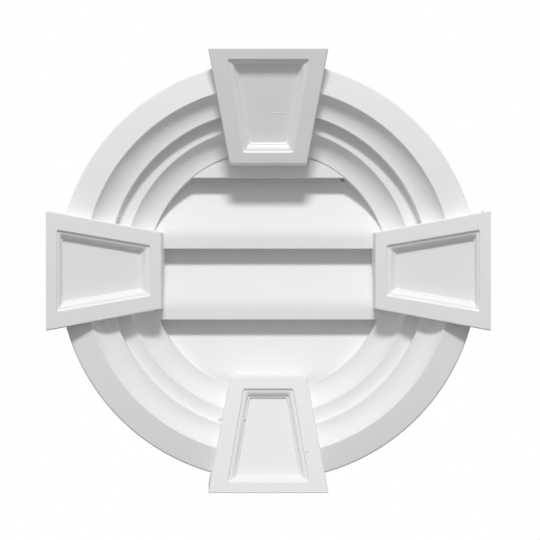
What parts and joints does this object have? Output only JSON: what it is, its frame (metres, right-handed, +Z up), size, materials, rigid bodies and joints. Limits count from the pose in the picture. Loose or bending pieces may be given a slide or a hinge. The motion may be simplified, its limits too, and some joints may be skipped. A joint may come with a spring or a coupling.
{
  "type": "round louvre vent",
  "caption": "Round facade louvre vent moulded in one piece: stepped ring trim with two coves, panelled keystones over it, and fixed sloping blades that shed rain and let air through.",
  "frame": {"origin": "centre of the vent on its flat back, which lies against the wall", "axes": "+Z up; +Y into the wall, so the vent faces -Y; +X to the right as seen from the front"},
  "size_m": [0.683, 0.1559, 0.683],
  "materials": {
    "white_primer": "factory white primer, satin, on moulded polyurethane foam"
  },
  "bodies": {
    "root": {"vent_moulding": "white_primer"}
  },
  "joints": []
}
